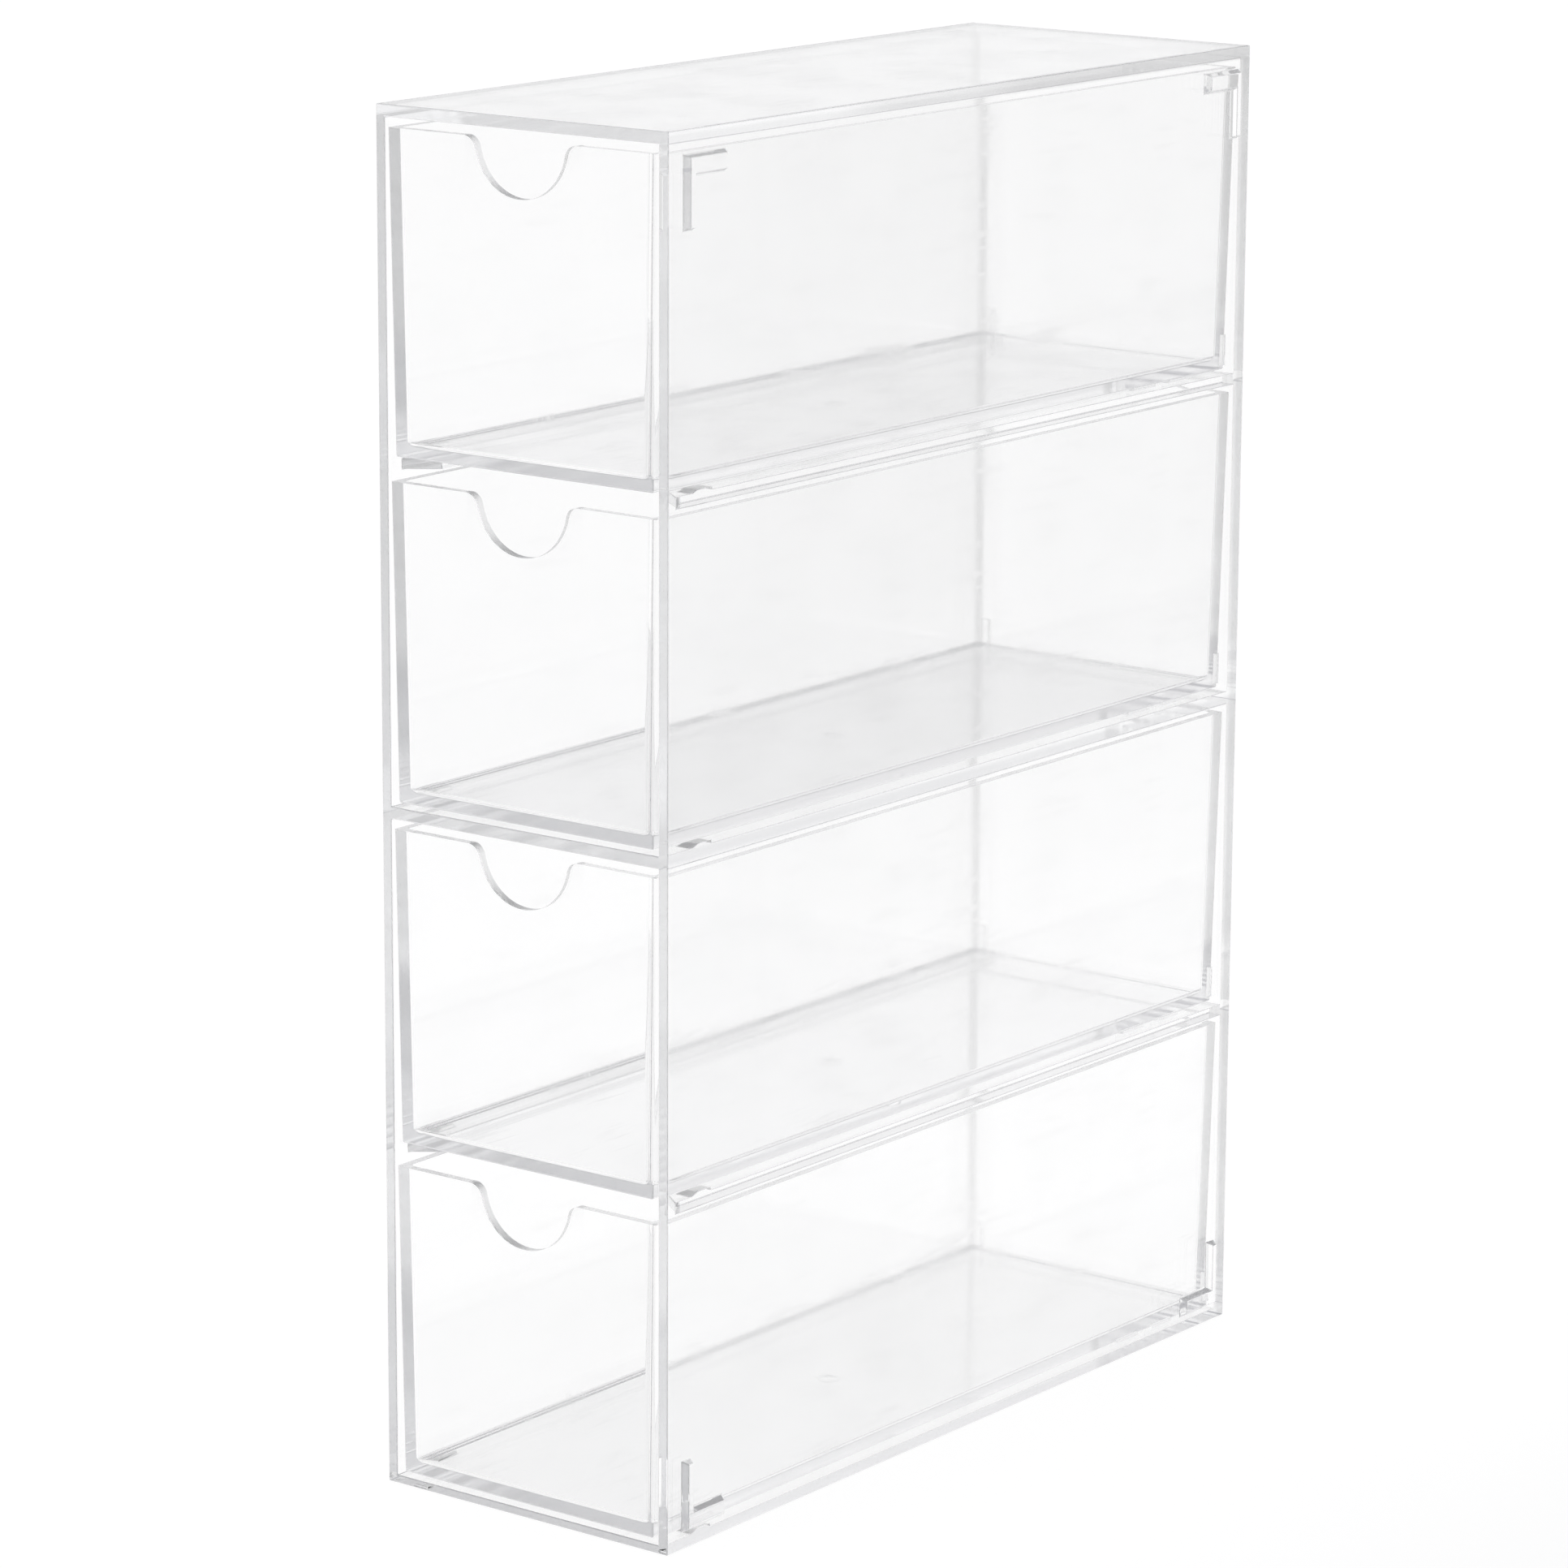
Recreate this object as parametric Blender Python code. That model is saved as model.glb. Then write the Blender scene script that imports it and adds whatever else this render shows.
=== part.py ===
"""Clear acrylic drawer tower: a bonded case with four moulded pull-out drawers.

Units are metres, +Z is up and the drawers open towards -Y.
The origin is the centre of the case's footprint, on the surface it stands on.
"""
import math

import bmesh
import bpy
from mathutils import Matrix, Vector

# Case, outside sizes and the thickness of each panel
CASE_WIDTH = 0.0645
CASE_DEPTH = 0.176
CASE_HEIGHT = 0.250
SIDE_WALL = 0.0021
BACK_WALL = 0.0018
TOP_WALL = 0.0022
BOTTOM_WALL = 0.0015
SHELF_WALL = 0.0022
GLUE_LINE = 0.0003
PANEL_EDGE_BREAK = 0.0002

# L-shaped locating ribs on the outside of the right side panel, one leg along the case and one upright
RIB_RISE = 0.00125
RIB_LONG_LEG = 0.0114
RIB_LONG_WIDTH = 0.0038
RIB_UPRIGHT_LEG = 0.0130
RIB_UPRIGHT_WIDTH = 0.0026
RIB_TAPER = 0.0003
RIB_END_INSET = 0.0040
RIB_TOP_INSET = 0.0041
RIB_BOTTOM_INSET = 0.0034

# Rails that carry drawers 1 and 3, cut off at a slant in front
RAIL_THICKNESS = 0.0019
RAIL_REACH = 0.00575
RAIL_SETBACK = 0.0035
RAIL_SLANT = 0.0044

# Stop bumps at the front of the rails, the shelf and the bottom panel
BUMP_RISE = 0.0006
BUMP_LENGTH = 0.0055
BUMP_WIDTH = 0.0034
BUMP_RAMP = 0.0018
BUMP_SETBACK = 0.0080

# Drawer fits
RUNNING_GAP = 0.0009
HEAD_GAP_UNDER_RAIL = 0.0016
HEAD_GAP_UNDER_PANEL = 0.00175
SIDE_GAP = 0.00055
REAR_GAP = 0.0005
SEAT_GAP = 0.0003

# Drawer moulding
DRAWER_WALL = 0.0017
DRAWER_FLOOR = 0.0018
DRAFT = 0.0009
FRONT_DRAFT = 0.0003
OUTER_CORNER = 0.0005
INNER_CORNER = 0.0010
RIM_EDGE_BREAK = 0.0002
FLOOR_FILLET = 0.0012
NOTCH_RADIUS = 0.0101
NOTCH_SHOULDER = 0.0025
LUG_LENGTH = 0.0070
LUG_WIDTH = 0.0018
LUG_PITCH = 0.0117
LUG_REAR_INSET = 0.0108
HEEL_HEIGHT = 0.0065
HEEL_WIDTH = 0.0020
GATE_RADIUS = 0.0020
GATE_DEPTH = 0.0003

# Cutters and joined pieces reach past the surface that they meet by this much
OVERRUN = 0.0010

# Steps in a quarter round
CORNER_STEPS = 4
FILLET_STEPS = 2
NOTCH_STEPS = 10
SHOULDER_STEPS = 4
GATE_STEPS = 24
LUG_COUNT = 2
SMOOTH_ANGLE = math.radians(32)

# Cast acrylic, clear with a faint cool tint
CLEAR_TINT = (0.965, 0.972, 0.980, 1.0)
CLEAR_ROUGHNESS = 0.03
CLEAR_IOR = 1.49

# Places that several pieces share
FRONT = -CASE_DEPTH / 2
BACK = CASE_DEPTH / 2
HALF_WIDTH = CASE_WIDTH / 2
INNER_HALF = HALF_WIDTH - SIDE_WALL
BACK_FACE = BACK - BACK_WALL
TOP_FACE = CASE_HEIGHT - TOP_WALL

# The shelf parts the case in two halves, and each half holds a lower and an upper drawer
HALF_BAY = (TOP_FACE - BOTTOM_WALL - SHELF_WALL) / 2
HEAD_GAPS = HEAD_GAP_UNDER_RAIL + HEAD_GAP_UNDER_PANEL
DRAWER_HEIGHT = (HALF_BAY - RAIL_THICKNESS - 2 * RUNNING_GAP - HEAD_GAPS) / 2
DRAWER_LENGTH = BACK_FACE - REAR_GAP - FRONT
RIM_HALF = INNER_HALF - SIDE_GAP
SHELF_BASE = BOTTOM_WALL + HALF_BAY
SHELF_FACE = SHELF_BASE + SHELF_WALL
RAIL_RISE = RUNNING_GAP + DRAWER_HEIGHT + HEAD_GAP_UNDER_RAIL
RIB_TOP_CORNER = CASE_HEIGHT - RIB_TOP_INSET


def clear_scene():
    """Remove every object that the file opens with."""
    for item in list(bpy.data.objects):
        bpy.data.objects.remove(item, do_unlink=True)


def clear_plastic(name):
    """One clear acrylic material."""
    material = bpy.data.materials.new(name + "_acrylic")
    material.use_nodes = True
    shader = material.node_tree.nodes["Principled BSDF"]
    shader.inputs["Base Color"].default_value = CLEAR_TINT
    shader.inputs["Roughness"].default_value = CLEAR_ROUGHNESS
    shader.inputs["Metallic"].default_value = 0.0
    shader.inputs["IOR"].default_value = CLEAR_IOR
    shader.inputs["Transmission Weight"].default_value = 1.0
    material.diffuse_color = CLEAR_TINT
    return material


def mesh_from(bm, name):
    """Close a bmesh into a mesh with its faces pointing out."""
    bmesh.ops.recalc_face_normals(bm, faces=bm.faces)
    mesh = bpy.data.meshes.new(name)
    bm.to_mesh(mesh)
    bm.free()
    return mesh


def add_object(name, mesh, place=(0, 0, 0)):
    """Put a mesh in the scene under its sub-part's name."""
    piece = bpy.data.objects.new(name, mesh)
    piece.location = place
    bpy.context.scene.collection.objects.link(piece)
    return piece


def finish(piece):
    """Give a piece its own material and shade its round stretches smooth."""
    piece.data.shade_smooth()
    piece.data.set_sharp_from_angle(angle=SMOOTH_ANGLE)
    if not piece.data.materials:
        piece.data.materials.append(None)
    piece.material_slots[0].link = "OBJECT"
    piece.material_slots[0].material = clear_plastic(piece.name)
    return piece


def box_mesh(name, low, high):
    """A plain block between two corners."""
    low = Vector(low)
    high = Vector(high)
    bm = bmesh.new()
    bmesh.ops.create_cube(bm, size=1.0)
    bmesh.ops.scale(bm, vec=high - low, verts=bm.verts)
    bmesh.ops.translate(bm, vec=(low + high) / 2, verts=bm.verts)
    return mesh_from(bm, name)


def prism_mesh(name, outline, low, high, place):
    """An outline of (a, b) points extruded from low to high, where place gives (a, b, c) its axes."""
    bm = bmesh.new()
    loop = [bm.verts.new(place(a, b, low)) for a, b in outline]
    face = bm.faces.new(loop)
    swept = bmesh.ops.extrude_face_region(bm, geom=[face])
    verts = [item for item in swept["geom"] if isinstance(item, bmesh.types.BMVert)]
    bmesh.ops.translate(bm, vec=Vector(place(0, 0, high)) - Vector(place(0, 0, low)), verts=verts)
    return mesh_from(bm, name)


def combine(piece, tools, operation):
    """Join or cut a piece with solids, keep the result and delete the solids."""
    for tool in tools:
        step = piece.modifiers.new(operation.lower(), "BOOLEAN")
        step.operation = operation
        step.solver = "EXACT"
        step.object = tool
    bpy.context.view_layer.update()
    solid = piece.evaluated_get(bpy.context.evaluated_depsgraph_get())
    piece.data = bpy.data.meshes.new_from_object(solid)
    piece.modifiers.clear()
    for tool in tools:
        bpy.data.objects.remove(tool, do_unlink=True)


def break_edges(piece):
    """The arris that a panel's sawn and polished edges have."""
    bevel = piece.modifiers.new("edge_break", "BEVEL")
    bevel.width = PANEL_EDGE_BREAK
    bevel.segments = 1
    bevel.limit_method = "ANGLE"


def panel(name, low, high):
    """One flat panel of the case."""
    piece = add_object(name, box_mesh(name, low, high))
    break_edges(piece)
    return piece


def quarter_points(centre, radius, start, end, steps):
    """Points along an arc between two angles in degrees."""
    turn = end - start
    angles = [math.radians(start + turn * step / steps) for step in range(steps + 1)]
    return [(centre[0] + radius * math.cos(a), centre[1] + radius * math.sin(a)) for a in angles]


def bump_outline(base):
    """Side view (y, z) of a stop bump, a ramp in front and a square face behind, sunk into its base."""
    front = FRONT + BUMP_SETBACK
    rear = front + BUMP_LENGTH
    top = base + BUMP_RISE
    sunk = base - OVERRUN
    return [(front, sunk), (front, base), (front + BUMP_RAMP, top), (rear, top), (rear, sunk)]


def along_x(y, z, x):
    """Axes of an outline drawn in side view and extruded across the case."""
    return (x, y, z)


def along_z(x, y, z):
    """Axes of an outline drawn in plan and extruded upwards."""
    return (x, y, z)


def add_bumps(piece, base, sides):
    """A stop bump beside the wall on each given side of a piece that carries a drawer."""
    tools = []
    for side in sides:
        inner = side * (INNER_HALF - BUMP_WIDTH)
        outer = side * (INNER_HALF - GLUE_LINE - PANEL_EDGE_BREAK)
        tools.append(add_object("bump", prism_mesh("bump", bump_outline(base), inner, outer, along_x)))
    combine(piece, tools, "UNION")


def l_outline(inset):
    """An L with its outer corner at zero, drawn in by an inset all round."""
    along = RIB_LONG_LEG - inset
    low = RIB_LONG_WIDTH - inset
    up = RIB_UPRIGHT_LEG - inset
    thick = RIB_UPRIGHT_WIDTH - inset
    return [(inset, inset), (along, inset), (along, low), (thick, low), (thick, up), (inset, up)]


def l_rib_mesh(end, top):
    """One tapered L rib on the right side; end is -1 at the front, top is 1 at the upper corners."""
    corner_y = end * (BACK - RIB_END_INSET)
    corner_z = RIB_TOP_CORNER if top > 0 else RIB_BOTTOM_INSET
    stations = [(HALF_WIDTH - SIDE_WALL / 2, 0.0), (HALF_WIDTH, 0.0), (HALF_WIDTH + RIB_RISE, RIB_TAPER)]
    bm = bmesh.new()
    rings = []
    for reach, inset in stations:
        points = [(reach, corner_y - end * a, corner_z - top * b) for a, b in l_outline(inset)]
        rings.append([bm.verts.new(point) for point in points])
    return loft(bm, rings, "l_rib")


def loft(bm, rings, name):
    """Skin a row of rings with as many points each, and cap both ends."""
    for near, far in zip(rings, rings[1:]):
        count = len(near)
        for step in range(count):
            after = (step + 1) % count
            bm.faces.new((near[step], near[after], far[after], far[step]))
    for ring in (rings[0], rings[-1]):
        bm.faces.new(ring)
    return mesh_from(bm, name)


def side_panel(name, side):
    """A flat side panel, under the top panel."""
    inner = side * INNER_HALF
    outer = side * HALF_WIDTH
    low = (min(inner, outer), FRONT, 0.0)
    high = (max(inner, outer), BACK, TOP_FACE - GLUE_LINE)
    return panel(name, low, high)


def add_ribs(piece):
    """Four locating ribs on the right side panel, one near each corner."""
    tools = []
    for end in (-1, 1):
        for top in (-1, 1):
            tools.append(add_object("l_rib", l_rib_mesh(end, top)))
    combine(piece, tools, "UNION")


def rail(name, side, base):
    """A carrying strip with a slanted front end and a stop bump."""
    front = FRONT + RAIL_SETBACK
    back = BACK_FACE - GLUE_LINE
    top = base + RAIL_THICKNESS
    inner = side * (INNER_HALF - RAIL_REACH)
    outer = side * (INNER_HALF - GLUE_LINE)
    plan = [(outer, front), (inner, front + RAIL_SLANT), (inner, back), (outer, back)]
    piece = add_object(name, prism_mesh(name, plan, base, top, along_z))
    add_bumps(piece, top, (side,))
    return piece


def drawer_ring(bm, height, inset, radius):
    """One rounded ring of the drawer's drafted wall, drawn in by an inset."""
    slope = 1.0 - height / DRAWER_HEIGHT
    half = RIM_HALF - DRAFT * slope - inset
    front = FRONT_DRAFT * slope + inset
    back = DRAWER_LENGTH - DRAFT * slope - inset
    near = front + radius
    far = back - radius
    side = half - radius
    points = quarter_points((side, near), radius, -90, 0, CORNER_STEPS)
    points += quarter_points((side, far), radius, 0, 90, CORNER_STEPS)
    points += quarter_points((-side, far), radius, 90, 180, CORNER_STEPS)
    points += quarter_points((-side, near), radius, 180, 270, CORNER_STEPS)
    return [bm.verts.new((x, y, height)) for x, y in points]


def drawer_stations():
    """Height, inset and corner radius of each ring, up the outside and down the inside."""
    rim = DRAWER_HEIGHT
    edge = RIM_EDGE_BREAK
    outside = [(0.0, edge), (edge, 0.0), (rim - edge, 0.0), (rim, edge)]
    inside = [(rim, DRAWER_WALL - edge), (rim - edge, DRAWER_WALL)]
    stations = [(height, inset, OUTER_CORNER - inset) for height, inset in outside]
    stations += [(height, inset, INNER_CORNER) for height, inset in inside]
    middle = (FLOOR_FILLET + DRAWER_WALL, FLOOR_FILLET + DRAWER_FLOOR)
    for inset, height in quarter_points(middle, FLOOR_FILLET, 180, 270, FILLET_STEPS):
        stations.append((height, inset, INNER_CORNER))
    return stations


def notch_outline():
    """Front view (x, z) of the finger notch: a half round with rounded shoulders, open at the top."""
    rim = DRAWER_HEIGHT
    reach = math.sqrt((NOTCH_RADIUS + NOTCH_SHOULDER) ** 2 - NOTCH_SHOULDER ** 2)
    tilt = math.degrees(math.asin(NOTCH_SHOULDER / (NOTCH_RADIUS + NOTCH_SHOULDER)))
    drop = rim - NOTCH_SHOULDER
    left = quarter_points((-reach, drop), NOTCH_SHOULDER, 90, tilt, SHOULDER_STEPS)
    bowl = quarter_points((0.0, rim), NOTCH_RADIUS, 180 + tilt, 360 - tilt, 2 * NOTCH_STEPS)
    right = quarter_points((reach, drop), NOTCH_SHOULDER, 180 - tilt, 90, SHOULDER_STEPS)
    above = rim + OVERRUN
    open_ends = [(right[-2][0], above), (left[1][0], above)]
    return left[1:] + bowl[1:-1] + right[:-1] + open_ends


def along_y(x, z, y):
    """Axes of an outline drawn in front view and extruded towards the back."""
    return (x, y, z)


def notch_cutter():
    """The solid that cuts the finger notch out of the front wall."""
    behind = FRONT_DRAFT + DRAWER_WALL + OVERRUN
    return add_object("notch", prism_mesh("notch", notch_outline(), -OVERRUN, behind, along_y))


def gate_cutter():
    """The shallow round recess under the floor where the moulding was gated."""
    bm = bmesh.new()
    turn = Matrix.Translation((0.0, DRAWER_LENGTH / 2, 0.0))
    bmesh.ops.create_cone(bm, cap_ends=True, segments=GATE_STEPS, radius1=GATE_RADIUS,
                          radius2=GATE_RADIUS, depth=2 * GATE_DEPTH, matrix=turn)
    return add_object("gate", mesh_from(bm, "gate"))


def drawer_lugs():
    """Pads under the floor near the rear, which run on the rails and meet the stop bumps."""
    outer = RIM_HALF - DRAFT - 2 * RIM_EDGE_BREAK
    inner = outer - LUG_WIDTH
    lowest = SEAT_GAP - RUNNING_GAP
    rear = DRAWER_LENGTH - DRAFT - LUG_REAR_INSET
    lugs = []
    for side in (-1, 1):
        for place in range(LUG_COUNT):
            end = rear - place * LUG_PITCH
            low = (min(side * inner, side * outer), end - LUG_LENGTH, lowest)
            high = (max(side * inner, side * outer), end, DRAWER_FLOOR / 2)
            lugs.append(add_object("lug", box_mesh("lug", low, high)))
    return lugs


def drawer_heels():
    """Short ribs at the rear lower corners, which meet the back panel when the drawer is shut."""
    outer = RIM_HALF - DRAFT - OUTER_CORNER
    inner = outer - HEEL_WIDTH
    start = DRAWER_LENGTH - DRAFT - DRAWER_WALL / 2
    end = DRAWER_LENGTH + REAR_GAP - SEAT_GAP
    heels = []
    for side in (-1, 1):
        low = (min(side * inner, side * outer), start, 2 * RIM_EDGE_BREAK)
        high = (max(side * inner, side * outer), end, HEEL_HEIGHT)
        heels.append(add_object("heel", box_mesh("heel", low, high)))
    return heels


def moulded_drawer():
    """The drawer's mesh, with its origin under the middle of the front wall."""
    bm = bmesh.new()
    rings = [drawer_ring(bm, *station) for station in drawer_stations()]
    shell = add_object("shell", loft(bm, rings, "drawer"))
    combine(shell, [notch_cutter(), gate_cutter()], "DIFFERENCE")
    combine(shell, drawer_lugs() + drawer_heels(), "UNION")
    mesh = shell.data
    bpy.data.objects.remove(shell, do_unlink=True)
    return mesh


def build_case():
    """The bonded panels and the rails."""
    inset = INNER_HALF - GLUE_LINE
    behind = BACK_FACE - GLUE_LINE
    pieces = [panel("top_panel", (-HALF_WIDTH, FRONT, TOP_FACE), (HALF_WIDTH, BACK, CASE_HEIGHT))]
    left = side_panel("left_side_panel", -1)
    right = side_panel("right_side_panel", 1)
    add_ribs(right)
    base = panel("bottom_panel", (-inset, FRONT, 0.0), (inset, BACK, BOTTOM_WALL))
    add_bumps(base, BOTTOM_WALL, (-1, 1))
    shelf = panel("middle_shelf", (-inset, FRONT, SHELF_BASE), (inset, behind, SHELF_FACE))
    add_bumps(shelf, SHELF_FACE, (-1, 1))
    rear_low = (-inset, BACK_FACE, BOTTOM_WALL + GLUE_LINE)
    rear_high = (inset, BACK, TOP_FACE - GLUE_LINE)
    pieces += [left, right, base, shelf, panel("back_panel", rear_low, rear_high)]
    for half, floor in (("lower", BOTTOM_WALL), ("upper", SHELF_FACE)):
        for hand, side in (("left", -1), ("right", 1)):
            pieces.append(rail(f"{half}_{hand}_rail", side, floor + RAIL_RISE))
    return pieces


def build_drawers():
    """Four drawers from one moulding, number 1 at the top."""
    mesh = moulded_drawer()
    on_rail = RAIL_RISE + RAIL_THICKNESS + RUNNING_GAP
    levels = [SHELF_FACE + on_rail, SHELF_FACE + RUNNING_GAP,
              BOTTOM_WALL + on_rail, BOTTOM_WALL + RUNNING_GAP]
    drawers = []
    for number, level in enumerate(levels, start=1):
        drawers.append(add_object(f"drawer_{number}", mesh, (0.0, FRONT, level)))
    return drawers


clear_scene()
for part in build_case() + build_drawers():
    finish(part)
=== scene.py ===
"""Looks of the clear drawer tower: fused clear case, four moulded drawers, studio and camera.

Everything is in metres, +Z is up and the drawers open towards -Y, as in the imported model.
"""
import math

import bmesh
import bpy
from mathutils import Matrix, Vector


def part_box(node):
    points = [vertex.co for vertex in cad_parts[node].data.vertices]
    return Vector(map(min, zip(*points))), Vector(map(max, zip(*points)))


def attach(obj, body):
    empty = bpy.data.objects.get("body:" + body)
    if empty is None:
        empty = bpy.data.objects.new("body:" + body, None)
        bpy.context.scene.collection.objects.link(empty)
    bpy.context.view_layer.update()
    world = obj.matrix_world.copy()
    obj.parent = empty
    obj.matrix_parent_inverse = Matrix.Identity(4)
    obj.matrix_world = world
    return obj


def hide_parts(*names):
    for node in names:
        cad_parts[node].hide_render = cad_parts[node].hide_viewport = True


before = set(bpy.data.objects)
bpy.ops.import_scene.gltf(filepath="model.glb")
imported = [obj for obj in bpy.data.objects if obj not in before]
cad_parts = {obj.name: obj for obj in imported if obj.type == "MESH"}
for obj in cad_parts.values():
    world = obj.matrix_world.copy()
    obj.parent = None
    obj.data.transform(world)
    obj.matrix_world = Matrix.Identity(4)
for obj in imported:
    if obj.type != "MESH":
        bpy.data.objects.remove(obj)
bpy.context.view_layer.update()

# The camera as the photograph places it: angles in radians, focal length in frame pixels
CAMERA_AZIMUTH = 0.6526
CAMERA_ELEVATION = 0.2255
CAMERA_ROLL = 0.0051
FOCAL_PIXELS = 7617.7
FRAME_PIXELS = 1932
SENSOR_MM = 36.0
CAMERA_DISTANCE = 1.1425
AIM_RIGHT = -0.00806
AIM_UP = -0.00638
CAMERA_NEAR = 0.01

# The studio around the object: colours by height, from the horizon up, and its dimmer side
WHITE = (1.0, 1.0, 1.0, 1.0)
HAZE = (0.85, 0.85, 0.86, 1.0)
CEILING = (0.55, 0.55, 0.58, 1.0)
SKY_STOPS = ((0.0, WHITE), (0.20, HAZE), (0.40, HAZE), (0.75, CEILING))
DIM_SIDE = (0.61, 0.79, 0.0)
DIM_FACING = (0.3, 0.9)
DIM_SHARE = 0.82

# The floor: a glowing sheet with a painted pool of light, brightest round the object, with a
# little paint that takes a shadow
FLOOR_HALF = 30.0
FLOOR_DROP = 0.0002
FLOOR_GLOW_SHARE = 0.91
FLOOR_PAINT_SHARE = 0.14
POOL_RUN = (0.05, 0.50)
POOL_SHARES = (1.03, 0.74)
POOL_FRONT_SHARE = 0.12

# Light runs along inside the clear walls, so it needs many bounces
BOUNCES = 200

# Clear acrylic
ACRYLIC_IOR = 1.49
ABSORPTION_COLOR = (0.50, 0.52, 0.60, 1.0)
ABSORPTION_DENSITY = 0.5

# Its polish: soft patches of more and less gloss, with faint rubbed lines in the duller ones
POLISH_SCALE = 60.0
POLISH_DETAIL = 2.0
POLISH_LEVELS = (0.35, 0.68)
POLISH_ROUGH = (0.025, 0.060)
HAIRLINE_STRETCH = (1.0, 0.07, 0.6)
HAIRLINE_SCALE = 900.0
HAIRLINE_LEVELS = (0.66, 0.72)
HAIRLINE_ROUGH = 0.08
RIPPLE_HEIGHT = 0.000004

# Painted shade, greying the base colour on the outer side faces near the rear ends and the
# case's top edge: how dark it is, and how far from each face it fades in
PAINTED_SHADE_LEVEL = 0.76
END_SKIN = (0.0015, 0.0011)
CASE_END = (0.0030, 0.0018)
DRAWER_END = (0.0042, 0.0020)
TOP_END = (0.0027, 0.0021)
TOP_END_RUN = (-0.010, 0.025)

# Less polished places: the notch cuts, the stop bumps and, by a share, the rib flanks
SATIN_ROUGH = 0.30
RIB_SATIN_SHARE = 0.3
SATIN_SKIN = 0.0001
NOTCH_HALF = 0.0128
NOTCH_DEPTH = 0.0104

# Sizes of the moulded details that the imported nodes' boxes don't give
BUMP_RISE = 0.0006
BUMP_LENGTH = 0.0055
BUMP_WIDTH = 0.0034
BUMP_RAMP = 0.0018
BUMP_SETBACK = 0.0080
RIB_BACK_LEG = 0.0114
RIB_BACK_WIDTH = 0.0038
RIB_UP_LEG = 0.0130
RIB_UP_WIDTH = 0.0026
RAIL_SLANT = 0.0044
RIB_TAPER = 0.0006
RIB_END_INSET = 0.0040
RIB_TOP_INSET = 0.0041
RIB_BOTTOM_INSET = 0.0034
LUG_DROP = 0.0006
LUG_LENGTH = 0.0070
LUG_WIDTH = 0.0018
LUG_PITCH = 0.0117
LUG_REAR_INSET = 0.0108
LUG_SIDE_INSET = 0.0004
LUG_COUNT = 2
REAR_GAP = 0.0005
SEAT_GAP = 0.0003
HEEL_HEIGHT = 0.0065
HEEL_WIDTH = 0.0020
HEEL_LIFT = 0.0006
DRAWER_WALL = 0.0017
DRAWER_FLOOR = 0.0018
DRAFT = 0.0009
FRONT_DRAFT = 0.0003
OUTER_CORNER = 0.0005
INNER_CORNER = 0.0010
FLOOR_FILLET = 0.0012
BASE_ROUND = 0.0004
NOTCH_RADIUS = 0.0101
NOTCH_SHOULDER = 0.0025
GATE_RADIUS = 0.0020
GATE_DEPTH = 0.0003
OVERRUN = 0.0010
CASE_ARRIS = 0.00025
DRAWER_ARRIS = 0.00022
ARRIS_SEGMENTS = 3
ARRIS_ANGLE = math.radians(16)
WELD_REACH = 0.000001
EVEN_WEIGHT = 100
CORNER_STEPS = 10
FILLET_STEPS = 8
NOTCH_STEPS = 80
SHOULDER_STEPS = 14
GATE_STEPS = 48

CASE_NODES = ("top_panel", "bottom_panel", "left_side_panel", "right_side_panel", "back_panel",
              "middle_shelf", "upper_left_rail", "upper_right_rail", "lower_left_rail",
              "lower_right_rail")
DRAWERS = ("drawer_1", "drawer_2", "drawer_3", "drawer_4")

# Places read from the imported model
top_low, top_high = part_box("top_panel")
side_low, side_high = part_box("right_side_panel")
back_low, back_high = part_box("back_panel")
base_low, base_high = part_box("bottom_panel")
shelf_low, shelf_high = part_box("middle_shelf")
rail_low, rail_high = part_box("upper_right_rail")
FRONT = top_low.y
BACK = top_high.y
HALF_WIDTH = top_high.x
CASE_HEIGHT = top_high.z
TOP_FACE = top_low.z
INNER_HALF = side_low.x
RIB_RISE = side_high.x - HALF_WIDTH
BACK_FACE = back_low.y
BASE_FACE = base_high.z - BUMP_RISE
SHELF_BASE = shelf_low.z
SHELF_FACE = shelf_high.z - BUMP_RISE
RAIL_FRONT = rail_low.y
RAIL_INNER = rail_low.x
RAIL_THICKNESS = rail_high.z - BUMP_RISE - rail_low.z
RAIL_RISE = rail_low.z - SHELF_FACE

drawer_low, drawer_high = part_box("drawer_1")
DRAWER_HEIGHT = drawer_high.z - drawer_low.z - LUG_DROP
DRAWER_LENGTH = BACK_FACE - REAR_GAP - FRONT
RIM_HALF = drawer_high.x


def add_piece(name, mesh, place=(0, 0, 0)):
    """Put a mesh in the scene."""
    piece = bpy.data.objects.new(name, mesh)
    piece.location = place
    bpy.context.scene.collection.objects.link(piece)
    return piece


def mesh_from(bm, name):
    """Close a bmesh into a mesh with its faces pointing out."""
    bmesh.ops.recalc_face_normals(bm, faces=bm.faces)
    mesh = bpy.data.meshes.new(name)
    bm.to_mesh(mesh)
    bm.free()
    return mesh


def block(name, low, high):
    """A solid block between two corners."""
    low = Vector(low)
    high = Vector(high)
    bm = bmesh.new()
    bmesh.ops.create_cube(bm, size=1.0)
    bmesh.ops.scale(bm, vec=high - low, verts=bm.verts)
    bmesh.ops.translate(bm, vec=(low + high) / 2, verts=bm.verts)
    return add_piece(name, mesh_from(bm, name))


def across(y, z, x):
    """Axes of an outline drawn in side view and extruded along X."""
    return (x, y, z)


def upwards(x, y, z):
    """Axes of an outline drawn in plan and extruded along Z."""
    return (x, y, z)


def rearwards(x, z, y):
    """Axes of an outline drawn in front view and extruded along Y."""
    return (x, y, z)


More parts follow.
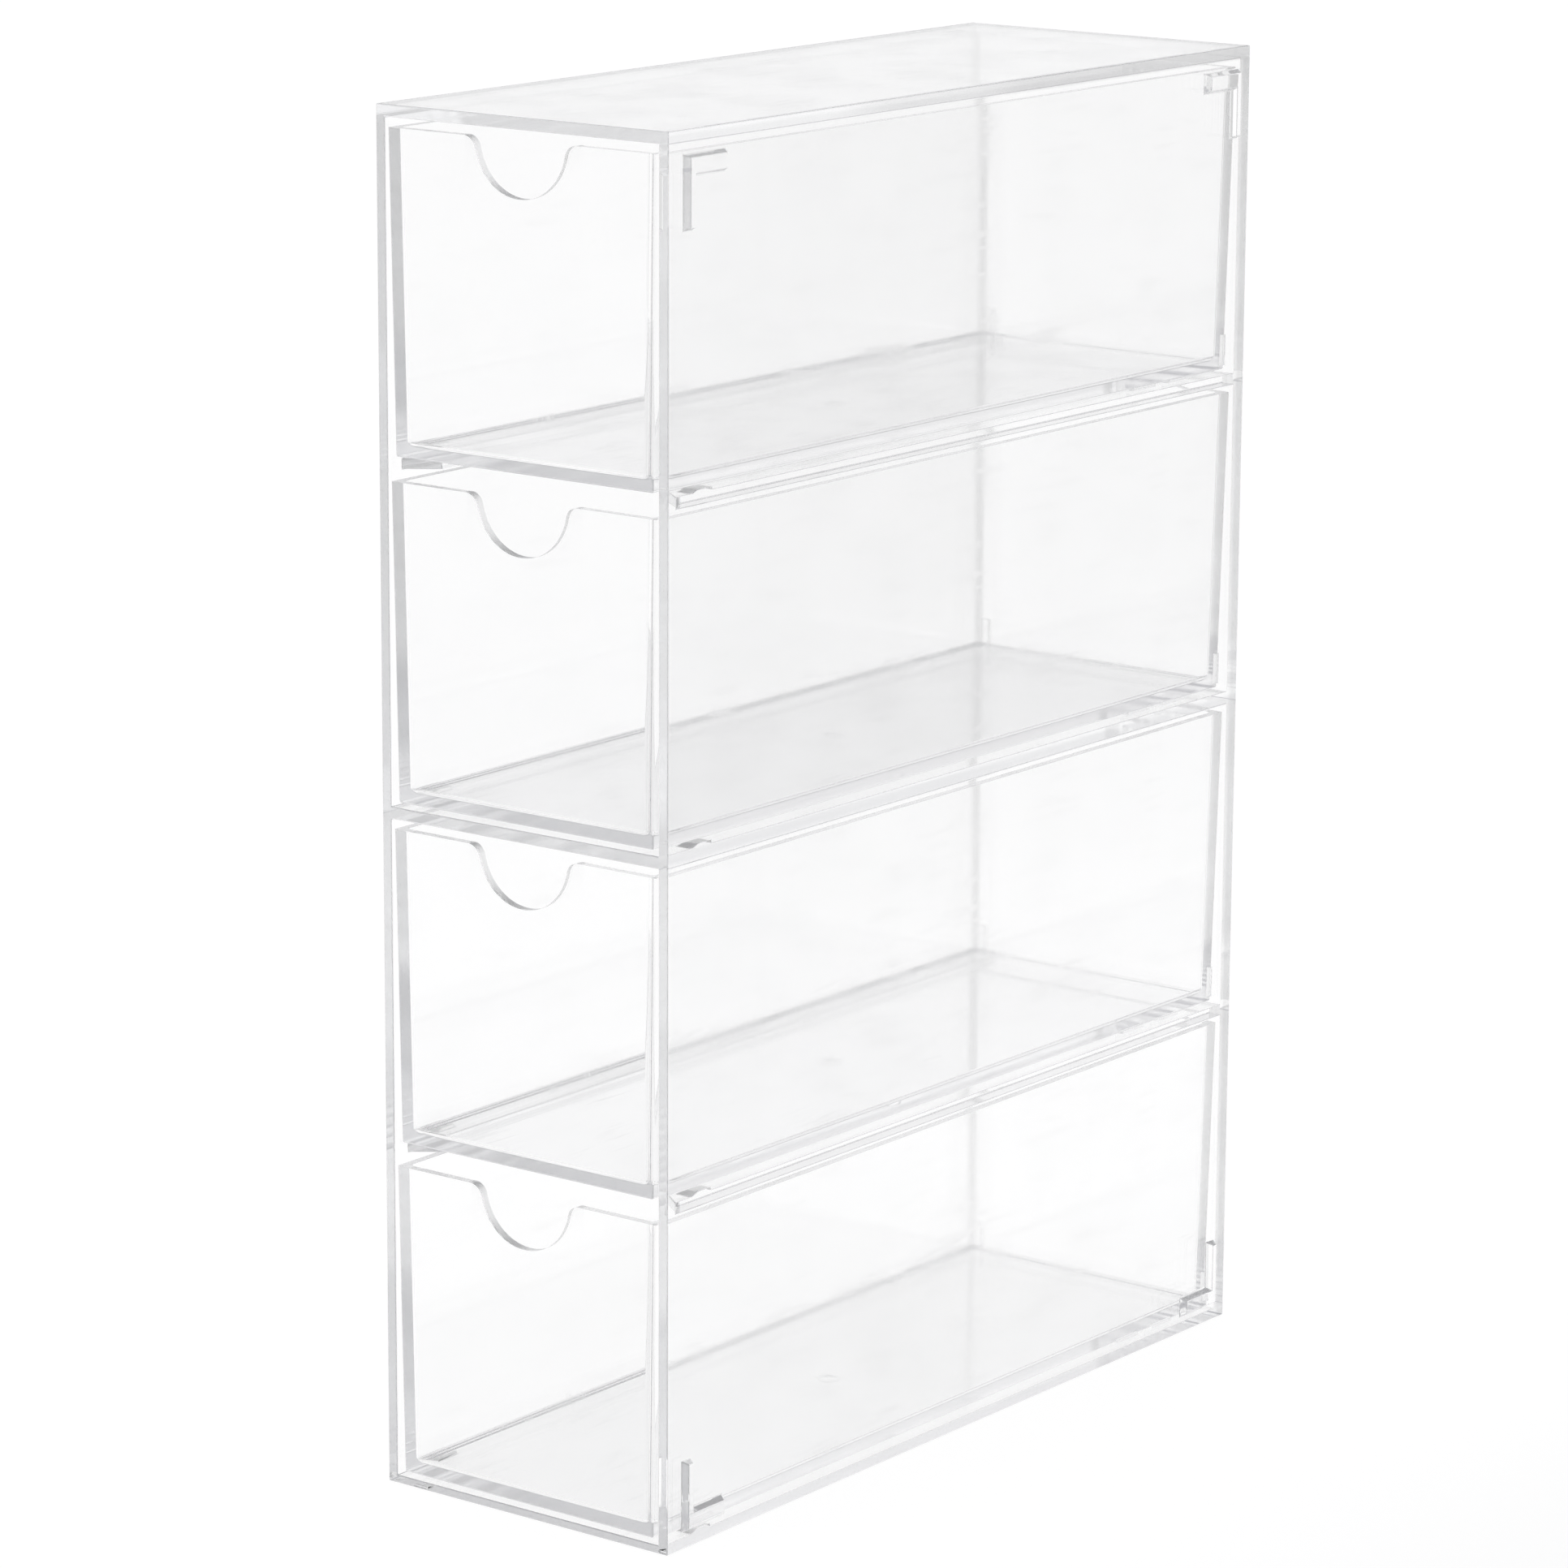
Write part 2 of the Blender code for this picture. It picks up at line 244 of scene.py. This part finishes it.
def prism(name, outline, low, high, axes):
    """An outline extruded between two places."""
    bm = bmesh.new()
    face = bm.faces.new([bm.verts.new(axes(a, b, low)) for a, b in outline])
    swept = bmesh.ops.extrude_face_region(bm, geom=[face])
    verts = [item for item in swept["geom"] if isinstance(item, bmesh.types.BMVert)]
    bmesh.ops.translate(bm, vec=Vector(axes(0, 0, high)) - Vector(axes(0, 0, low)), verts=verts)
    return add_piece(name, mesh_from(bm, name))


def loft(bm, rings, name):
    """Skin a row of rings with as many points each, and cap both ends."""
    for near, far in zip(rings, rings[1:]):
        count = len(near)
        for step in range(count):
            after = (step + 1) % count
            bm.faces.new((near[step], near[after], far[after], far[step]))
    for ring in (rings[0], rings[-1]):
        bm.faces.new(ring)
    return mesh_from(bm, name)


def bake(piece):
    """Keep what the modifiers make as the piece's own mesh."""
    bpy.context.view_layer.update()
    solid = piece.evaluated_get(bpy.context.evaluated_depsgraph_get())
    piece.data = bpy.data.meshes.new_from_object(solid)
    piece.modifiers.clear()


def combine(piece, tools, operation):
    """Join or cut a piece with solids, and delete the solids."""
    for tool in tools:
        step = piece.modifiers.new(operation.lower(), "BOOLEAN")
        step.operation = operation
        step.solver = "EXACT"
        step.object = tool
    bake(piece)
    for tool in tools:
        bpy.data.objects.remove(tool, do_unlink=True)


def weld(mesh):
    """Merge points that lie on top of each other."""
    bm = bmesh.new()
    bm.from_mesh(mesh)
    bmesh.ops.remove_doubles(bm, verts=bm.verts, dist=WELD_REACH)
    bm.to_mesh(mesh)
    bm.free()


def soften(piece, width):
    """Round every arris over a few segments, and keep the flat faces flat in shading."""
    bevel = piece.modifiers.new("arris", "BEVEL")
    bevel.width = width
    bevel.segments = ARRIS_SEGMENTS
    bevel.limit_method = "ANGLE"
    bevel.angle_limit = ARRIS_ANGLE
    bake(piece)
    weld(piece.data)
    piece.data.shade_smooth()
    even = piece.modifiers.new("even_faces", "WEIGHTED_NORMAL")
    even.mode = "FACE_AREA"
    even.weight = EVEN_WEIGHT
    bake(piece)


def arc_points(centre, radius, start, end, steps):
    """Points along an arc between two angles in degrees."""
    turn = end - start
    angles = [math.radians(start + turn * step / steps) for step in range(steps + 1)]
    return [(centre[0] + radius * math.cos(a), centre[1] + radius * math.sin(a)) for a in angles]


def bump_outline(base):
    """Side view (y, z) of a stop bump, sunk a little into what carries it."""
    front = FRONT + BUMP_SETBACK
    rear = front + BUMP_LENGTH
    top = base + BUMP_RISE
    sunk = base - BUMP_RISE
    return [(front, sunk), (front, base), (front + BUMP_RAMP, top), (rear, top), (rear, sunk)]


def case_rails():
    """Rails and stop bumps, reaching into the side walls and the back so that they fuse."""
    pieces = []
    rear = (BACK_FACE + BACK) / 2
    for side in (-1, 1):
        outer = side * (INNER_HALF + HALF_WIDTH) / 2
        wall = side * INNER_HALF
        inner = side * RAIL_INNER
        plan = [(outer, RAIL_FRONT), (wall, RAIL_FRONT), (inner, RAIL_FRONT + RAIL_SLANT),
                (inner, rear), (outer, rear)]
        for floor in (BASE_FACE, SHELF_FACE):
            low = floor + RAIL_RISE
            high = low + RAIL_THICKNESS
            pieces.append(prism("rail", plan, low, high, upwards))
            for base in (floor, high):
                start = wall - side * BUMP_WIDTH
                pieces.append(prism("bump", bump_outline(base), start, outer, across))
    return pieces


def l_outline(inset):
    """An L with its outer corner at zero, drawn in by an inset all round."""
    back = RIB_BACK_LEG - inset
    up = RIB_UP_LEG - inset
    thick = RIB_UP_WIDTH - inset
    tall = RIB_BACK_WIDTH - inset
    return [(inset, inset), (back, inset), (back, tall), (thick, tall), (thick, up), (inset, up)]


def l_rib(end, top):
    """One tapered L rib on the right side; end is -1 at the front, and top is 1 at the top."""
    corner_y = end * (BACK - RIB_END_INSET)
    corner_z = CASE_HEIGHT - RIB_TOP_INSET if top > 0 else RIB_BOTTOM_INSET
    root = (INNER_HALF + HALF_WIDTH) / 2
    stations = [(root, 0.0), (HALF_WIDTH, 0.0), (HALF_WIDTH + RIB_RISE, RIB_TAPER)]
    bm = bmesh.new()
    rings = []
    for reach, inset in stations:
        points = [(reach, corner_y - end * a, corner_z - top * b) for a, b in l_outline(inset)]
        rings.append([bm.verts.new(point) for point in points])
    return add_piece("l_rib", loft(bm, rings, "l_rib"))


def case_shell():
    """The bonded case as one clear body, open at the front, with its shelf, rails and ribs."""
    shell = block("case_shell", (-HALF_WIDTH, FRONT, 0.0), (HALF_WIDTH, BACK, CASE_HEIGHT))
    bays = []
    for low, high in ((BASE_FACE, SHELF_BASE), (SHELF_FACE, TOP_FACE)):
        corner = (-INNER_HALF, FRONT - OVERRUN, low)
        bays.append(block("bay", corner, (INNER_HALF, BACK_FACE, high)))
    combine(shell, bays, "DIFFERENCE")
    ribs = [l_rib(end, top) for end in (-1, 1) for top in (-1, 1)]
    combine(shell, case_rails() + ribs, "UNION")
    soften(shell, CASE_ARRIS)
    return shell


def drawer_ring(bm, height, inset, radius):
    """One rounded ring of the drawer's drafted wall, drawn in by an inset."""
    slope = 1.0 - height / DRAWER_HEIGHT
    half = RIM_HALF - DRAFT * slope - inset
    front = FRONT_DRAFT * slope + inset
    back = DRAWER_LENGTH - DRAFT * slope - inset
    near = front + radius
    far = back - radius
    side = half - radius
    points = arc_points((side, near), radius, -90, 0, CORNER_STEPS)
    points += arc_points((side, far), radius, 0, 90, CORNER_STEPS)
    points += arc_points((-side, far), radius, 90, 180, CORNER_STEPS)
    points += arc_points((-side, near), radius, 180, 270, CORNER_STEPS)
    return [bm.verts.new((x, y, height)) for x, y in points]


def drawer_stations():
    """Height, inset and corner radius of each ring, up the outside and down the inside."""
    stations = []
    middle = (BASE_ROUND, BASE_ROUND)
    for inset, height in arc_points(middle, BASE_ROUND, 270, 180, FILLET_STEPS):
        stations.append((height, inset, OUTER_CORNER - inset))
    stations.append((DRAWER_HEIGHT, 0.0, OUTER_CORNER))
    stations.append((DRAWER_HEIGHT, DRAWER_WALL, INNER_CORNER))
    middle = (FLOOR_FILLET + DRAWER_WALL, FLOOR_FILLET + DRAWER_FLOOR)
    for inset, height in arc_points(middle, FLOOR_FILLET, 180, 270, FILLET_STEPS):
        stations.append((height, inset, INNER_CORNER))
    return stations


def notch_cutter():
    """A half round with rounded shoulders, open at the top."""
    rim = DRAWER_HEIGHT
    reach = math.sqrt((NOTCH_RADIUS + NOTCH_SHOULDER) ** 2 - NOTCH_SHOULDER ** 2)
    tilt = math.degrees(math.asin(NOTCH_SHOULDER / (NOTCH_RADIUS + NOTCH_SHOULDER)))
    drop = rim - NOTCH_SHOULDER
    left = arc_points((-reach, drop), NOTCH_SHOULDER, 90, tilt, SHOULDER_STEPS)
    bowl = arc_points((0.0, rim), NOTCH_RADIUS, 180 + tilt, 360 - tilt, NOTCH_STEPS)
    right = arc_points((reach, drop), NOTCH_SHOULDER, 180 - tilt, 90, SHOULDER_STEPS)
    above = rim + OVERRUN
    outline = left[1:] + bowl[1:-1] + right[:-1] + [(right[-2][0], above), (left[1][0], above)]
    behind = FRONT_DRAFT + DRAWER_WALL + OVERRUN
    return prism("notch", outline, -OVERRUN, behind, rearwards)


def gate_cutter():
    """The shallow round recess under the floor where the moulding was gated."""
    bm = bmesh.new()
    place = Matrix.Translation((0.0, DRAWER_LENGTH / 2, 0.0))
    bmesh.ops.create_cone(bm, cap_ends=True, segments=GATE_STEPS, radius1=GATE_RADIUS,
                          radius2=GATE_RADIUS, depth=2 * GATE_DEPTH, matrix=place)
    return add_piece("gate", mesh_from(bm, "gate"))


def drawer_lugs():
    """Pads under the floor near the rear."""
    outer = RIM_HALF - DRAFT - LUG_SIDE_INSET
    inner = outer - LUG_WIDTH
    rear = DRAWER_LENGTH - DRAFT - LUG_REAR_INSET
    lugs = []
    for side in (-1, 1):
        for place in range(LUG_COUNT):
            end = rear - place * LUG_PITCH
            low = (min(side * inner, side * outer), end - LUG_LENGTH, -LUG_DROP)
            high = (max(side * inner, side * outer), end, DRAWER_FLOOR / 2)
            lugs.append(block("lug", low, high))
    return lugs


def drawer_heels():
    """Short ribs at the rear lower corners."""
    outer = RIM_HALF - DRAFT - OUTER_CORNER
    inner = outer - HEEL_WIDTH
    start = DRAWER_LENGTH - DRAFT - DRAWER_WALL / 2
    end = DRAWER_LENGTH + REAR_GAP - SEAT_GAP
    heels = []
    for side in (-1, 1):
        low = (min(side * inner, side * outer), start, HEEL_LIFT)
        high = (max(side * inner, side * outer), end, HEEL_HEIGHT)
        heels.append(block("heel", low, high))
    return heels


def moulded_drawer():
    """The drawer's fine mesh, with its origin under the middle of the front wall."""
    bm = bmesh.new()
    rings = [drawer_ring(bm, *station) for station in drawer_stations()]
    shell = add_piece("drawer_form", loft(bm, rings, "drawer_form"))
    combine(shell, [notch_cutter(), gate_cutter()], "DIFFERENCE")
    combine(shell, drawer_lugs() + drawer_heels(), "UNION")
    soften(shell, DRAWER_ARRIS)
    mesh = shell.data
    bpy.data.objects.remove(shell, do_unlink=True)
    return mesh


def math_step(tree, operation, first, second):
    """One maths node between a socket and a socket or number."""
    step = tree.nodes.new("ShaderNodeMath")
    step.operation = operation
    for socket, value in zip(step.inputs, (first, second)):
        if isinstance(value, float):
            socket.default_value = value
        else:
            tree.links.new(value, socket)
    return step.outputs["Value"]


def chain(tree, operation, first, *others):
    """The same maths over any number of sockets or numbers."""
    for other in others:
        first = math_step(tree, operation, first, other)
    return first


def distance(tree, value):
    """How far a value is from zero."""
    return math_step(tree, "ABSOLUTE", value, 0.0)


def fade(tree, value, places, levels=(0.0, 1.0)):
    """A smooth change from one level to another between two places."""
    ramp = tree.nodes.new("ShaderNodeMapRange")
    ramp.interpolation_type = "SMOOTHSTEP"
    tree.links.new(value, ramp.inputs["Value"])
    ramp.inputs["From Min"].default_value = places[0]
    ramp.inputs["From Max"].default_value = places[1]
    ramp.inputs["To Min"].default_value = levels[0]
    ramp.inputs["To Max"].default_value = levels[1]
    return ramp.outputs["Result"]


def below(tree, value, high):
    """1 below a place and 0 above it, with a thin change between."""
    return fade(tree, value, (high - SATIN_SKIN, high), (1.0, 0.0))


def between(tree, value, low, high):
    """1 between two places and 0 outside them, with a thin change at each."""
    rise = fade(tree, value, (low, low + SATIN_SKIN))
    return math_step(tree, "MULTIPLY", rise, below(tree, value, high))


def cloud(tree, place, scale, detail):
    """A soft noise over the piece's own coordinates."""
    noise = tree.nodes.new("ShaderNodeTexNoise")
    tree.links.new(place, noise.inputs["Vector"])
    noise.inputs["Scale"].default_value = scale
    noise.inputs["Detail"].default_value = detail
    return noise.outputs["Fac"]


def hairlines(tree, place):
    """1 along faint rubbed lines that run front to back, 0 elsewhere."""
    stretch = tree.nodes.new("ShaderNodeVectorMath")
    stretch.operation = "MULTIPLY"
    tree.links.new(place, stretch.inputs[0])
    stretch.inputs[1].default_value = HAIRLINE_STRETCH
    lines = cloud(tree, stretch.outputs["Vector"], HAIRLINE_SCALE, 0.0)
    return fade(tree, lines, HAIRLINE_LEVELS)


def painted_shade_mask(tree, parts, half, ends):
    """1 on the outer side faces near an end, where the shade is painted, 0 elsewhere.

    An end is a list of pairs, each an axis and the places between which it fades in.
    """
    near = []
    for end in ends:
        steps = [fade(tree, parts.outputs[axis], places) for axis, places in end]
        near.append(chain(tree, "MULTIPLY", *steps))
    side = distance(tree, parts.outputs["X"])
    outer = fade(tree, side, [half - skin for skin in END_SKIN])
    return math_step(tree, "MULTIPLY", chain(tree, "MAXIMUM", *near), outer)


def bump_faces(tree, parts):
    """1 on the stop bumps near the front, 0 elsewhere."""
    reach = 2 * SATIN_SKIN
    near = []
    for floor in (BASE_FACE, SHELF_FACE):
        for base in (floor, floor + RAIL_RISE + RAIL_THICKNESS):
            near.append(between(tree, parts.outputs["Z"], base, base + BUMP_RISE + reach))
    front = FRONT + BUMP_SETBACK
    along = between(tree, parts.outputs["Y"], front - reach, front + BUMP_LENGTH + reach)
    side = distance(tree, parts.outputs["X"])
    wide = between(tree, side, INNER_HALF - BUMP_WIDTH - reach, INNER_HALF - SATIN_SKIN)
    return chain(tree, "MULTIPLY", chain(tree, "MAXIMUM", *near), along, wide)


def case_satin(tree, parts):
    """1 on the stop bumps, a share on the flanks of the L ribs, 0 on the polished walls."""
    flanks = between(tree, parts.outputs["X"], HALF_WIDTH + SATIN_SKIN,
                     HALF_WIDTH + RIB_RISE - SATIN_SKIN)
    ribs = math_step(tree, "MULTIPLY", flanks, RIB_SATIN_SHARE)
    return math_step(tree, "MAXIMUM", ribs, bump_faces(tree, parts))


def drawer_satin(tree, parts):
    """1 on the cut face of the finger notch, 0 on the polished walls."""
    middle = (FRONT_DRAFT + DRAWER_WALL) / 2
    depth = distance(tree, math_step(tree, "SUBTRACT", parts.outputs["Y"], middle))
    inside = below(tree, depth, DRAWER_WALL / 2 - SATIN_SKIN)
    beside = below(tree, distance(tree, parts.outputs["X"]), NOTCH_HALF + SATIN_SKIN)
    low = DRAWER_HEIGHT - NOTCH_DEPTH
    above = fade(tree, parts.outputs["Z"], (low, low + SATIN_SKIN))
    return chain(tree, "MULTIPLY", beside, inside, above)


def uneven_polish(tree, place, patches, satin):
    """Roughness from soft patches of gloss, faint hairlines and the satin places."""
    polish = fade(tree, patches, POLISH_LEVELS, POLISH_ROUGH)
    worn = fade(tree, patches, POLISH_LEVELS, (0.0, HAIRLINE_ROUGH))
    rubbed = math_step(tree, "MULTIPLY", hairlines(tree, place), worn)
    cut = math_step(tree, "MULTIPLY", satin, SATIN_ROUGH)
    return chain(tree, "ADD", polish, rubbed, cut)


def clear_acrylic(name, half, ends, satin):
    """Polished clear acrylic with uneven gloss, a slight moulding ripple, some absorption and
    shade painted into its colour near the ends.
    """
    material = bpy.data.materials.new(name)
    material.use_nodes = True
    tree = material.node_tree
    shader = tree.nodes["Principled BSDF"]
    shader.inputs["IOR"].default_value = ACRYLIC_IOR
    shader.inputs["Transmission Weight"].default_value = 1.0
    place = tree.nodes.new("ShaderNodeTexCoord").outputs["Object"]
    parts = tree.nodes.new("ShaderNodeSeparateXYZ")
    tree.links.new(place, parts.inputs["Vector"])
    # Painted shade: the base colour turns grey on the outer side faces near the rear ends and,
    # on the case, along the top edge
    painted_shade = fade(tree, painted_shade_mask(tree, parts, half, ends), (0.0, 1.0), (1.0, PAINTED_SHADE_LEVEL))
    tree.links.new(painted_shade, shader.inputs["Base Color"])
    patches = cloud(tree, place, POLISH_SCALE, POLISH_DETAIL)
    rough = uneven_polish(tree, place, patches, satin(tree, parts))
    tree.links.new(rough, shader.inputs["Roughness"])
    ripple = tree.nodes.new("ShaderNodeBump")
    tree.links.new(patches, ripple.inputs["Height"])
    ripple.inputs["Distance"].default_value = RIPPLE_HEIGHT
    tree.links.new(ripple.outputs["Normal"], shader.inputs["Normal"])
    inside = tree.nodes.new("ShaderNodeVolumeAbsorption")
    inside.inputs["Color"].default_value = ABSORPTION_COLOR
    inside.inputs["Density"].default_value = ABSORPTION_DENSITY
    tree.links.new(inside.outputs["Volume"], tree.nodes["Material Output"].inputs["Volume"])
    return material


def add_camera():
    """The photograph's viewing angle."""
    cos_up = math.cos(CAMERA_ELEVATION)
    back = Vector((math.sin(CAMERA_AZIMUTH) * cos_up, -math.cos(CAMERA_AZIMUTH) * cos_up,
                   math.sin(CAMERA_ELEVATION)))
    level = Vector((math.cos(CAMERA_AZIMUTH), math.sin(CAMERA_AZIMUTH), 0.0))
    upright = back.cross(level)
    right = math.cos(CAMERA_ROLL) * level + math.sin(CAMERA_ROLL) * upright
    up = math.cos(CAMERA_ROLL) * upright - math.sin(CAMERA_ROLL) * level
    middle = Vector((0.0, 0.0, CASE_HEIGHT / 2))
    place = middle + back * CAMERA_DISTANCE + right * AIM_RIGHT + up * AIM_UP
    data = bpy.data.cameras.new("camera")
    data.sensor_width = SENSOR_MM
    data.lens = SENSOR_MM * FOCAL_PIXELS / FRAME_PIXELS
    data.clip_start = CAMERA_NEAR
    camera = bpy.data.objects.new("camera", data)
    bpy.context.scene.collection.objects.link(camera)
    turn = Matrix((right, up, back)).transposed().to_4x4()
    camera.matrix_world = Matrix.Translation(place) @ turn
    bpy.context.scene.camera = camera


def add_world():
    """A white studio, greyer towards the ceiling and a little dimmer behind on the right."""
    world = bpy.data.worlds.new("studio")
    bpy.context.scene.world = world
    world.use_nodes = True
    tree = world.node_tree
    place = tree.nodes.new("ShaderNodeTexCoord")
    parts = tree.nodes.new("ShaderNodeSeparateXYZ")
    tree.links.new(place.outputs["Generated"], parts.inputs["Vector"])
    ramp = tree.nodes.new("ShaderNodeValToRGB")
    tree.links.new(parts.outputs["Z"], ramp.inputs["Fac"])
    stops = ramp.color_ramp.elements
    while len(stops) < len(SKY_STOPS):
        stops.new(1.0)
    for stop, (position, color) in zip(stops, SKY_STOPS):
        stop.position = position
        stop.color = color
    tree.links.new(ramp.outputs["Color"], tree.nodes["Background"].inputs["Color"])
    facing = tree.nodes.new("ShaderNodeVectorMath")
    facing.operation = "DOT_PRODUCT"
    tree.links.new(place.outputs["Generated"], facing.inputs[0])
    facing.inputs[1].default_value = DIM_SIDE
    dim = fade(tree, facing.outputs["Value"], DIM_FACING, (1.0, DIM_SHARE))
    tree.links.new(dim, tree.nodes["Background"].inputs["Strength"])


def painted_pool_of_light(tree):
    """A painted pool of light on the floor, for its glow and its colour: highest behind and
    left, less to the right and to the front.
    """
    place = tree.nodes.new("ShaderNodeNewGeometry")
    parts = tree.nodes.new("ShaderNodeSeparateXYZ")
    tree.links.new(place.outputs["Position"], parts.inputs["Vector"])
    right = math_step(tree, "MAXIMUM", parts.outputs["X"], 0.0)
    front = math_step(tree, "MINIMUM", parts.outputs["Y"], 0.0)
    front = math_step(tree, "MULTIPLY", front, POOL_FRONT_SHARE)
    squares = [math_step(tree, "MULTIPLY", value, value) for value in (right, front)]
    away = math_step(tree, "SQRT", math_step(tree, "ADD", *squares), 0.0)
    return fade(tree, away, POOL_RUN, POOL_SHARES)


def add_floor():
    """A pale floor that glows like a lit sweep, with a painted pool of light, and still takes a
    soft shadow.
    """
    bm = bmesh.new()
    bmesh.ops.create_grid(bm, x_segments=1, y_segments=1, size=FLOOR_HALF,
                          matrix=Matrix.Translation((0.0, 0.0, -FLOOR_DROP)))
    floor = add_piece("floor", mesh_from(bm, "floor"))
    material = bpy.data.materials.new("floor_paint")
    material.use_nodes = True
    tree = material.node_tree
    shader = tree.nodes["Principled BSDF"]
    painted_pool = painted_pool_of_light(tree)
    # The painted pool of light sets both the floor's colour and its glow
    paint = math_step(tree, "MULTIPLY", painted_pool, FLOOR_PAINT_SHARE)
    tree.links.new(paint, shader.inputs["Base Color"])
    shader.inputs["Roughness"].default_value = 1.0
    shader.inputs["Specular IOR Level"].default_value = 0.0
    shader.inputs["Emission Color"].default_value = WHITE
    glow = math_step(tree, "MULTIPLY", painted_pool, FLOOR_GLOW_SHARE)
    tree.links.new(glow, shader.inputs["Emission Strength"])
    floor.data.materials.append(material)


def dress_case():
    """One clear body stands for the bonded panels and rails."""
    shell = case_shell()
    shell.data.materials.clear()
    # The shade painted into the case's colour lies near the rear and along the top edge
    rear = [("Y", [BACK - reach for reach in CASE_END])]
    top = [("Z", [CASE_HEIGHT - reach for reach in TOP_END]), ("Y", TOP_END_RUN)]
    acrylic = clear_acrylic("case_acrylic", HALF_WIDTH, [rear, top], case_satin)
    shell.data.materials.append(acrylic)
    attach(shell, "case")
    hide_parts(*CASE_NODES)


def dress_drawers():
    """Four copies of one moulding, each on its own drawer."""
    mesh = moulded_drawer()
    mesh.materials.clear()
    # The shade painted into the drawers' colour lies near the rear
    rear = [("Y", [DRAWER_LENGTH - reach for reach in DRAWER_END])]
    mesh.materials.append(clear_acrylic("drawer_acrylic", RIM_HALF, [rear], drawer_satin))
    for name in DRAWERS:
        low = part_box(name)[0]
        piece = add_piece("clear_" + name, mesh.copy(), (0.0, FRONT, low.z + LUG_DROP))
        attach(piece, name)
        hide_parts(name)


def set_render():
    """Plain view settings, and enough bounces for the clear walls."""
    scene = bpy.context.scene
    scene.view_settings.view_transform = "Standard"
    scene.cycles.max_bounces = BOUNCES
    scene.cycles.transmission_bounces = BOUNCES
    scene.cycles.glossy_bounces = BOUNCES


add_camera()
add_world()
add_floor()
dress_case()
dress_drawers()
set_render()
